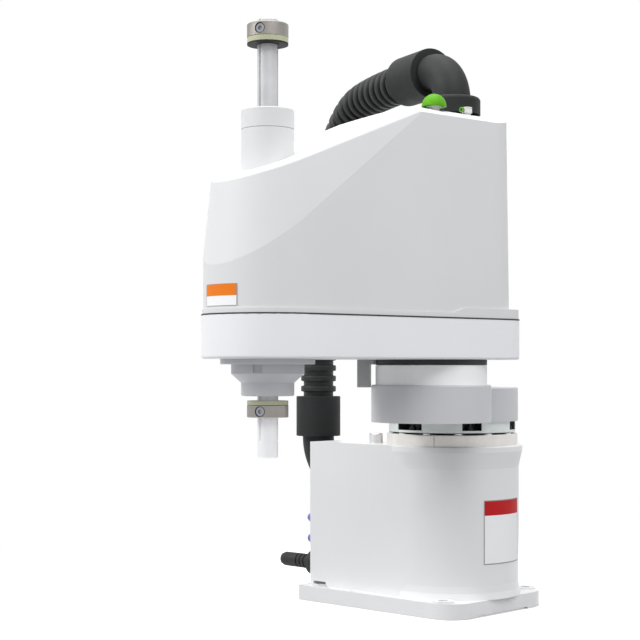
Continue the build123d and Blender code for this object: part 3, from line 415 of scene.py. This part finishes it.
def lamp_glass(name, colour):
    """Translucent moulded lens with faint ribs, glowing a little."""
    s = Shader(name, colour, 0.45, specular=0.12)
    s.main.inputs["Emission Strength"].default_value = 0.12
    s.main.inputs["Emission Color"].default_value = (*colour, 1.0)
    ribs = s.math("SINE", s.math("MULTIPLY", s.axes()[2], 4200.0))
    haze = s.range(s.noise(160.0, 3.0), 0.3, 0.7, 0.0, 1.0)
    s.colour(s.mix(haze, shade(colour, 0.88), shade(colour, 1.1)))
    s.bump(ribs, 0.05, 0.00005)
    return s.material


def panel_print(name, top, band, upper, border, body=(0.93, 0.93, 0.92)):
    """Blank panel: a colour band over a white field inside a thin grey border.

    The border's width is a share of the panel, whose top and band are heights.
    """
    s = Shader(name, body, 0.5, specular=0.12)
    in_band = s.math("GREATER_THAN", s.axes()[2], top - band)
    base = s.mix(in_band, body, upper)
    uv = s.node("ShaderNodeUVMap")
    uv.uv_map = "panel"
    parts = s.node("ShaderNodeSeparateXYZ")
    s.join(uv.outputs["UV"], parts.inputs["Vector"])
    rims = []
    for axis in ("X", "Y"):
        off = s.math("ABSOLUTE", s.math("SUBTRACT", parts.outputs[axis], 0.5))
        rims.append(s.math("GREATER_THAN", off, 0.5 - border))
    s.colour(s.mix(s.math("MAXIMUM", rims[0], rims[1]), base, (0.30, 0.30, 0.30)))
    s.roughness(s.range(s.noise(220.0, 3.0), 0.3, 0.7, 0.45, 0.55))
    s.bump(s.noise(700.0, 2.0), 0.05, 0.00004)
    return s.material


# ---- operators ----------------------------------------------------------------------
class SCARA_OT_finishes(bpy.types.Operator):
    """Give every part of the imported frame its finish"""
    bl_idname = "scara.finishes"
    bl_label = "Finish the frame"

    def execute(self, context):
        look = context.scene.scara_finish
        shell, arm, hose = tuple(look.shell_colour), tuple(look.arm_colour), tuple(look.hose_colour)
        j1, j2, j4 = tuple(J1), tuple(J2), tuple(J4)
        made = {
            "base": paint("base_enamel", shell),
            "cover": paint("cover_enamel", shade(shell, 0.90), 0.46, 0.08, 0.0, specular=0.35),
            "tray": paint("tray_enamel", tuple(c * f for c, f in zip(shell, (1.06, 1.06, 1.075))), 0.38),
            "arm": paint("arm_enamel", arm, 0.42, above=(BOSS_SEAM, shade(shell, 1.16))),
            "hub": paint("hub_enamel", shade(arm, 1.02), 0.42),
            "panel": paint("panel_enamel", (0.52, 0.52, 0.53), 0.45),
            "ring": machined("reducer_ring_metal", (0.80, 0.775, 0.735), j1, 0.42, metallic=0.35),
            # painted shade: the flange is painted near-black inside its pocket radius, where the pockets
            # lie in shadow
            "flange": machined("output_flange_metal", (0.74, 0.79, 0.765), j1, 0.42, metallic=0.25,
                               inside=(POCKET_SHADE_R, (0.02, 0.02, 0.02))),
            "elbow_flange": machined("elbow_flange_metal", (0.70, 0.70, 0.71), j2, 0.35, metallic=0.7),
            # painted reflection: the shaft is painted lighter below its reflection level
            "shaft": machined("hard_chrome", (0.61, 0.61, 0.62), j4, 0.42, 9000.0, metallic=0.4,
                              strength=0.04, below=(SHAFT_REFLECTION_TOP, (0.87, 0.87, 0.88))),
            "collar": machined("collar_nickel", (0.31, 0.29, 0.272), j4, 0.38, 6000.0),
            "nut": machined("bearing_steel", (0.55, 0.55, 0.57), j4, 0.28),
            # painted shade: the upper cushion's lowest band and underside are painted black
            "cushion": cushion_layers("cushion_elastomer", (0.50, 0.51, 0.34), SHADE_BAND_TOP),
            "screw": brushed("plated_screw", (0.62, 0.62, 0.63), 0.30),
            "dark_screw": brushed("grey_screw", (0.30, 0.31, 0.34), 0.36),
            "oxide": brushed("black_oxide", (0.03, 0.03, 0.032), 0.42),
            "pin": brushed("plated_pin", (0.72, 0.72, 0.72), 0.34),
            "bracket": paint("bracket_enamel", (0.38, 0.38, 0.385), 0.5),
            "aluminium": brushed("bare_aluminium", (0.75, 0.75, 0.76), 0.38),
            "brass": brushed("turned_brass", (0.70, 0.52, 0.20), 0.28),
            "rubber": rubbery("black_rubber", (0.022, 0.022, 0.022)),
            "boot": rubbery("boot_rubber", (0.012, 0.012, 0.012)),
            "belt": rubbery("belt_rubber", (0.02, 0.02, 0.02), 0.7),
            "fitting": moulded("conduit_moulding", shade(hose, 1.1), 0.60, 0.30, specular=0.25),
            "socket": moulded("socket_moulding", (0.02, 0.02, 0.022), 0.42),
            "blue": moulded("blue_moulding", (0.16, 0.17, 0.55), 0.34),
            "white": moulded("white_moulding", (0.74, 0.74, 0.72), 0.40),
            "motor": paint("motor_enamel", (0.035, 0.035, 0.037), 0.45, 0.2),
            "lens": lamp_glass("green_lens", tuple(look.lens_colour)),
            "green": moulded("green_moulding", shade(tuple(look.lens_colour), 0.8), 0.35),
        }
        use = {
            "base": ["base_housing"], "cover": ["arm_2_cover", "tube_cap_ring"], "tray": ["arm_2_tray"],
            "arm": ["arm_1_casting", "arm_1_cap"], "hub": ["quill_hub"], "panel": ["rear_panel"],
            "ring": ["j1_reducer"], "flange": ["j1_output_flange"],
            "elbow_flange": ["j2_output_flange", "j2_reducer"],
            "shaft": ["spline_shaft"], "collar": ["upper_collar", "lower_collar"],
            "nut": ["spline_nut", "ball_screw_nut", "nut_bearings", "upper_bearing"],
            "cushion": ["collar_cushions"],
            "screw": ["rear_panel_screws", "j1_reducer_bolts", "arm_1_bolts", "motor_plate_screws",
                      "signal_socket"],
            "dark_screw": ["quill_hub_screws", "collar_screws"],
            "oxide": ["j1_flange_bolts"], "pin": ["j1_stop_pins", "j2_stop_pin"],
            "bracket": ["j2_stop_bracket"],
            "aluminium": ["j1_motor_mount", "motor_plate", "j4_nut_pulley", "j3_nut_pulley",
                          "j3_motor_pulley", "j4_motor_pulley"],
            "brass": ["ground_terminal"], "rubber": ["seal_ring", "hub_seal"], "boot": ["rubber_boot"],
            "belt": ["j3_belt", "j4_belt"],
            "fitting": ["conduit_lower_nut", "conduit_lower_elbow", "conduit_lower_sleeve",
                        "conduit_hose", "conduit_upper_nut", "conduit_upper_elbow",
                        "conduit_upper_sleeve"],
            "socket": ["power_socket"], "blue": ["air_fittings"],
            "white": ["lamp_base", "top_air_fitting"],
            "motor": ["j1_motor", "j2_motor", "j3_motor", "j4_motor"],
            "lens": ["lamp_lens"], "green": ["top_fitting_ring"],
        }
        done = set()
        for key, names in use.items():
            for name in names:
                put(NODES[name], made[key])
                done.add(name)
        left = sorted(set(NODES) - done)
        if left:
            raise RuntimeError(f"no finish for {left}")
        return {"FINISHED"}


def route_curve(points, name):
    """The smooth line through the conduit's route, as a NURBS spline of order three."""
    data = bpy.data.curves.new(name, "CURVE")
    data.dimensions = "3D"
    spline = data.splines.new("NURBS")
    spline.points.add(len(points) - 1)
    for point, place in zip(spline.points, points):
        point.co = (*place, 1.0)
    spline.order_u = 3
    spline.use_endpoint_u = True
    spline.resolution_u = 24
    data.twist_mode = "MINIMUM"
    obj = bpy.data.objects.new(name, data)
    bpy.context.scene.collection.objects.link(obj)
    return obj


def curve_length(curve):
    """Length of a curve, and its points in order."""
    depsgraph = bpy.context.evaluated_depsgraph_get()
    mesh = bpy.data.meshes.new_from_object(curve.evaluated_get(depsgraph))
    points = [v.co.copy() for v in mesh.vertices]
    bpy.data.meshes.remove(mesh)
    return sum((b - a).length for a, b in zip(points, points[1:])), points


def corrugated(name, length, root, crest, pitch, sides=48):
    """One corrugation modelled from a circle, repeated along +X and closed into a tube."""
    count = max(2, round(length / pitch))
    step = length / count
    deselect()
    bpy.ops.mesh.primitive_circle_add(vertices=sides, radius=root, fill_type="NOTHING",
                                      rotation=(0, math.pi / 2, 0))
    obj = take(bpy.context.object)
    bpy.ops.object.transform_apply(location=False, rotation=True, scale=False)
    bpy.ops.object.mode_set(mode="EDIT")
    bpy.ops.mesh.select_all(action="SELECT")
    profile = [(0.22, root), (0.26, root * 0.2 + crest * 0.8), (0.30, crest * 0.99), (0.34, crest),
               (0.70, crest), (0.74, crest * 0.99), (0.78, root * 0.2 + crest * 0.8), (0.82, root),
               (1.0, root)]
    x, r = 0.0, root
    for along, radius in profile:
        bpy.ops.mesh.extrude_region_move(TRANSFORM_OT_translate={"value": (along * step - x, 0, 0)})
        scale = radius / r
        bpy.ops.transform.resize(value=(1.0, scale, scale))
        x, r = along * step, radius
    bpy.ops.object.mode_set(mode="OBJECT")
    repeat = obj.modifiers.new("repeat", "ARRAY")
    repeat.count = count
    repeat.use_relative_offset = False
    repeat.use_constant_offset = True
    repeat.constant_offset_displace = (step, 0, 0)
    repeat.use_merge_vertices = True
    repeat.merge_threshold = 1e-5
    apply_all(obj)
    obj.name = name
    return obj


class SCARA_OT_conduit(bpy.types.Operator):
    """Corrugated conduit from the base fitting to the elbow on the second arm"""
    bl_idname = "scara.conduit"
    bl_label = "Corrugated conduit"

    def execute(self, context):
        size = context.scene.scara_conduit
        low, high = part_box("conduit_lower_sleeve")
        foot = Vector(((low.x + high.x) / 2, (low.y + high.y) / 2, high.z))
        low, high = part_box("conduit_upper_nut")
        leg = Vector(((low.x + high.x) / 2, (low.y + high.y) / 2, 0.0))
        flat = Vector((leg.x - foot.x, leg.y - foot.y, 0.0))
        span = flat.length / MM
        flat.normalize()
        route = CONDUIT_RISE + [(span - UPPER_SLEEVE_REACH, CREST_HEIGHT)]
        points = [Vector((foot.x, foot.y, 0)) + flat * (r * MM) + Vector((0, 0, z * MM))
                  for r, z in route]
        curve = route_curve(points, "conduit_line")
        length, line = curve_length(curve)
        tube = corrugated("conduit_whole", length - CONDUIT_SLACK, size.root_radius,
                          size.outer_radius, size.pitch)
        along = tube.modifiers.new("along", "CURVE")
        along.object = curve
        along.deform_axis = "POS_X"
        apply_all(tube)
        tube.location = (0, 0, 0)
        split = next(k for k, p in enumerate(line) if (p - foot).xy.dot(flat.xy) > SPLIT_REACH)
        split_at = line[split]
        normal = (line[split + 1] - split_at).normalized()
        material = moulded("conduit_tube", tuple(context.scene.scara_finish.hose_colour), 0.46, 0.22,
                           specular=0.3)
        for name, keep_low in (("conduit_run_lower", True), ("conduit_run_upper", False)):
            part = tube.copy()
            part.data = tube.data.copy()
            context.scene.collection.objects.link(part)
            take(part)
            bpy.ops.object.mode_set(mode="EDIT")
            bpy.ops.mesh.select_all(action="SELECT")
            bpy.ops.mesh.bisect(plane_co=split_at, plane_no=normal, clear_outer=keep_low,
                                clear_inner=not keep_low)
            bpy.ops.object.mode_set(mode="OBJECT")
            wall = part.modifiers.new("wall", "SOLIDIFY")
            wall.thickness = CONDUIT_WALL
            wall.offset = -1.0
            tidy_normals(part)
            apply_all(part)
            settle(part, name, 0.9)
            put(part, material)
            if keep_low:
                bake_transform(part)
            else:
                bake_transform(part)
            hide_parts("conduit_hose")
        bpy.data.objects.remove(tube)
        bpy.data.objects.remove(curve)
        return {"FINISHED"}


def wrapped_panel(name, centre, radius, angle_0, angle_1, z0, z1, body, material):
    """A thin panel stuck on an upright round wall: one edge spun into a strip, then thickened.

    Its UV map runs from 0 to 1 along the turn and up, for the print.
    """
    deselect()
    start = centre + Vector((math.cos(angle_0) * radius, math.sin(angle_0) * radius, 0))
    bpy.ops.mesh.primitive_plane_add(size=1.0, location=(start.x, start.y, (z0 + z1) / 2))
    obj = take(bpy.context.object)
    bpy.ops.object.mode_set(mode="EDIT")
    mesh = bmesh.from_edit_mesh(obj.data)
    bmesh.ops.delete(mesh, geom=list(mesh.faces), context="FACES")
    a = mesh.verts.new((0, 0, (z0 - z1) / 2))
    b = mesh.verts.new((0, 0, (z1 - z0) / 2))
    edge = mesh.edges.new((a, b))
    for v in mesh.verts:
        v.select_set(True)
    edge.select_set(True)
    bmesh.update_edit_mesh(obj.data)
    bpy.ops.mesh.spin(steps=24, angle=angle_1 - angle_0, center=(centre.x, centre.y, 0), axis=(0, 0, -1))
    bpy.ops.object.mode_set(mode="OBJECT")
    tidy_normals(obj)
    settle(obj, name, 0.6)
    uv = obj.data.uv_layers.new(name="panel")
    for loop in obj.data.loops:
        co = obj.data.vertices[loop.vertex_index].co
        turn = math.atan2(co.y - centre.y, co.x - centre.x) - angle_0
        turn = (turn + math.pi) % (2 * math.pi) - math.pi
        uv.data[loop.index].uv = (turn / (angle_1 - angle_0), (co.z - z0) / (z1 - z0))
    mid = obj.data.polygons[len(obj.data.polygons) // 2]
    out = Vector((mid.center.x - centre.x, mid.center.y - centre.y, 0))
    if mid.normal.dot(out) < 0:
        obj.data.flip_normals()
    skin = obj.modifiers.new("skin", "SOLIDIFY")
    skin.thickness = PANEL_THICK
    skin.offset = -1.0
    apply_all(obj)
    settle(obj, name, 0.6)
    put(obj, material)
    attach(obj, body)


class SCARA_OT_gasket(bpy.types.Operator):
    """Black gasket squeezed between the tray and the cover of the second arm"""
    bl_idname = "scara.gasket"
    bl_label = "Cover gasket"

    def execute(self, context):
        low_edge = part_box("arm_2_cover")[0].z / MM - GASKET_DROP
        line = link_line(TRAY_HALF + GASKET_PROUD, TRAY_REAR - GASKET_PROUD, TRAY_CORNER + GASKET_PROUD)
        deselect()
        bpy.ops.mesh.primitive_circle_add(vertices=len(line), radius=0.1, fill_type="NOTHING")
        obj = take(bpy.context.object)
        bpy.ops.object.mode_set(mode="EDIT")
        mesh = bmesh.from_edit_mesh(obj.data)
        mesh.verts.ensure_lookup_table()
        for vertex, (x, y) in zip(mesh.verts, line):
            vertex.co = on_arm_2(x, y, low_edge)
        bmesh.update_edit_mesh(obj.data)
        bpy.ops.mesh.select_all(action="SELECT")
        bpy.ops.mesh.extrude_region_move(TRANSFORM_OT_translate={"value": (0, 0, GASKET_HEIGHT * MM)})
        bpy.ops.object.mode_set(mode="OBJECT")
        wall = obj.modifiers.new("wall", "SOLIDIFY")
        wall.thickness = GASKET_WIDTH * MM
        wall.offset = -1.0
        tidy_normals(obj)
        apply_all(obj)
        settle(obj, "cover_gasket")
        put(obj, rubbery("gasket_rubber", (0.03, 0.03, 0.03), 0.6))
        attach(obj, "arm_2")
        return {"FINISHED"}


class SCARA_OT_panels(bpy.types.Operator):
    """Blank colour panels on the nose of the cover and on the front of the base"""
    bl_idname = "scara.panels"
    bl_label = "Blank panels"

    def execute(self, context):
        look = context.scene.scara_finish
        orange, red = tuple(look.label_orange), tuple(look.label_red)
        wrapped_panel("nose_panel", Vector((J4.x, J4.y, 0)), NOSE_R + PANEL_LIFT,
                      HEADING + math.radians(NOSE_START), HEADING + math.radians(NOSE_END),
                      NOSE_LOW, NOSE_HIGH, "arm_2",
                      panel_print("nose_panel_print", NOSE_HIGH, NOSE_BAND, orange, NOSE_BORDER))
        half = BASE_PANEL_HALF / BASE_FRONT_R
        wrapped_panel("base_panel", Vector((J1.x, J1.y, 0)), BASE_FRONT_R + PANEL_LIFT,
                      -half, half, BASE_LOW, BASE_HIGH, "base",
                      panel_print("base_panel_print", BASE_HIGH, BASE_BAND, red, BASE_BORDER))
        return {"FINISHED"}


def floor_paper():
    """Pale paper near the arm that turns plain white further out, and throws back little light."""
    s = Shader("floor_paper", (0.93, 0.93, 0.93), 0.9)
    s.colour(s.mix(s.noise(2.0), (0.925, 0.925, 0.925), (0.94, 0.94, 0.94)))
    x, y = s.axes()[:2]
    reach = s.math("SQRT", s.math("ADD", s.math("MULTIPLY", x, x), s.math("MULTIPLY", y, y)))
    far = s.range(reach, *FLOOR_FADE, 0.0, 1.0)
    lift, glow = s.node("ShaderNodeEmission"), s.node("ShaderNodeEmission")
    lift.inputs["Strength"].default_value = FLOOR_LIFT
    glow.inputs["Strength"].default_value = 1.0
    near = s.node("ShaderNodeAddShader")
    fade, seen = s.node("ShaderNodeMixShader"), s.node("ShaderNodeMixShader")
    ray = s.node("ShaderNodeLightPath")
    s.join(s.main.outputs["BSDF"], near.inputs[0])
    s.join(lift.outputs["Emission"], near.inputs[1])
    s.join(far, fade.inputs[0])
    s.join(near.outputs["Shader"], fade.inputs[1])
    s.join(glow.outputs["Emission"], fade.inputs[2])
    bounce = s.node("ShaderNodeBsdfDiffuse")
    bounce.inputs["Color"].default_value = FLOOR_BOUNCE
    bright = s.math("MAXIMUM", ray.outputs["Is Camera Ray"], ray.outputs["Is Glossy Ray"])
    s.join(bright, seen.inputs[0])
    s.join(bounce.outputs["BSDF"], seen.inputs[1])
    s.join(fade.outputs["Shader"], seen.inputs[2])
    s.join(seen.outputs["Shader"], s.tree.nodes["Material Output"].inputs["Surface"])
    return s.material


def set_sky(scene):
    """A soft sky as light, and plain white where the camera, gloss and glass meet it."""
    world = bpy.data.worlds.new("studio")
    scene.world = world
    world.use_nodes = True
    tree = world.node_tree
    back = tree.nodes["Background"]
    back.inputs["Color"].default_value = SKY_COLOUR
    back.inputs["Strength"].default_value = SKY_STRENGTH
    white = tree.nodes.new("ShaderNodeBackground")
    white.inputs["Color"].default_value = (1, 1, 1, 1)
    white.inputs["Strength"].default_value = 1.0
    ray = tree.nodes.new("ShaderNodeLightPath")
    first, second = (tree.nodes.new("ShaderNodeMath") for _ in range(2))
    first.operation = second.operation = "MAXIMUM"
    choose = tree.nodes.new("ShaderNodeMixShader")
    for start, end in ((ray.outputs["Is Camera Ray"], first.inputs[0]),
                       (ray.outputs["Is Glossy Ray"], first.inputs[1]),
                       (first.outputs[0], second.inputs[0]),
                       (ray.outputs["Is Transmission Ray"], second.inputs[1]),
                       (second.outputs[0], choose.inputs[0]),
                       (back.outputs[0], choose.inputs[1]),
                       (white.outputs[0], choose.inputs[2]),
                       (choose.outputs[0], tree.nodes["World Output"].inputs["Surface"])):
        tree.links.new(start, end)


def hang_lamps(scene):
    """Square soft lamps that all aim at the arm."""
    for name, place, power, width in LAMPS:
        data = bpy.data.lights.new(name, "AREA")
        data.shape = "SQUARE"
        data.size = width
        data.energy = power
        lamp = bpy.data.objects.new(name, data)
        scene.collection.objects.link(lamp)
        lamp.location = place
        aim = Vector(LAMP_TARGET) - Vector(place)
        lamp.rotation_euler = aim.to_track_quat("-Z", "Y").to_euler()


def set_camera(scene):
    """A level camera, in front of the base and to its right."""
    data = bpy.data.cameras.new("camera")
    data.sensor_width = CAMERA_SENSOR
    data.lens = CAMERA_LENS
    data.shift_y = CAMERA_SHIFT
    data.clip_start = 0.05
    camera = bpy.data.objects.new("camera", data)
    scene.collection.objects.link(camera)
    camera.location = CAMERA_PLACE
    camera.rotation_euler = Vector(CAMERA_LOOK).to_track_quat("-Z", "Y").to_euler()
    scene.camera = camera


class SCARA_OT_stage(bpy.types.Operator):
    """Pale floor, soft lights and the camera"""
    bl_idname = "scara.stage"
    bl_label = "Floor, lights and camera"

    def execute(self, context):
        deselect()
        bpy.ops.mesh.primitive_grid_add(x_subdivisions=2, y_subdivisions=2, size=FLOOR_WIDTH,
                                        location=(0, 0, -FLOOR_DROP))
        floor = settle(bpy.context.object, "studio_floor")
        put(floor, floor_paper())
        set_sky(context.scene)
        hang_lamps(context.scene)
        set_camera(context.scene)
        context.scene.view_settings.view_transform = "Standard"
        return {"FINISHED"}


class SCARA_PT_sidebar(bpy.types.Panel):
    """Sidebar panel that lists the pieces and their settings"""
    bl_idname = "SCARA_PT_sidebar"
    bl_label = "Scara robot arm"
    bl_space_type = "VIEW_3D"
    bl_region_type = "UI"
    bl_category = "Scara"

    def draw(self, context):
        for group in (context.scene.scara_finish, context.scene.scara_conduit):
            box = self.layout.box()
            for key in group.__annotations__:
                box.prop(group, key)
        for operator in OPERATORS:
            self.layout.operator(operator.bl_idname)


OPERATORS = (SCARA_OT_finishes, SCARA_OT_conduit, SCARA_OT_gasket, SCARA_OT_panels, SCARA_OT_stage)
CLASSES = (FinishSettings, ConduitSettings) + OPERATORS + (SCARA_PT_sidebar,)


def register():
    """Register the classes and hang the settings on the scene."""
    for entry in CLASSES:
        bpy.utils.register_class(entry)
    bpy.types.Scene.scara_finish = bpy.props.PointerProperty(type=FinishSettings)
    bpy.types.Scene.scara_conduit = bpy.props.PointerProperty(type=ConduitSettings)


def unregister():
    """Take back what register did."""
    del bpy.types.Scene.scara_finish
    del bpy.types.Scene.scara_conduit
    for entry in reversed(CLASSES):
        bpy.utils.unregister_class(entry)


def main():
    """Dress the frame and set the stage."""
    register()
    bpy.ops.scara.finishes()
    bpy.ops.scara.conduit()
    bpy.ops.scara.gasket()
    bpy.ops.scara.panels()
    bpy.ops.scara.stage()


if __name__ == "__main__":
    main()
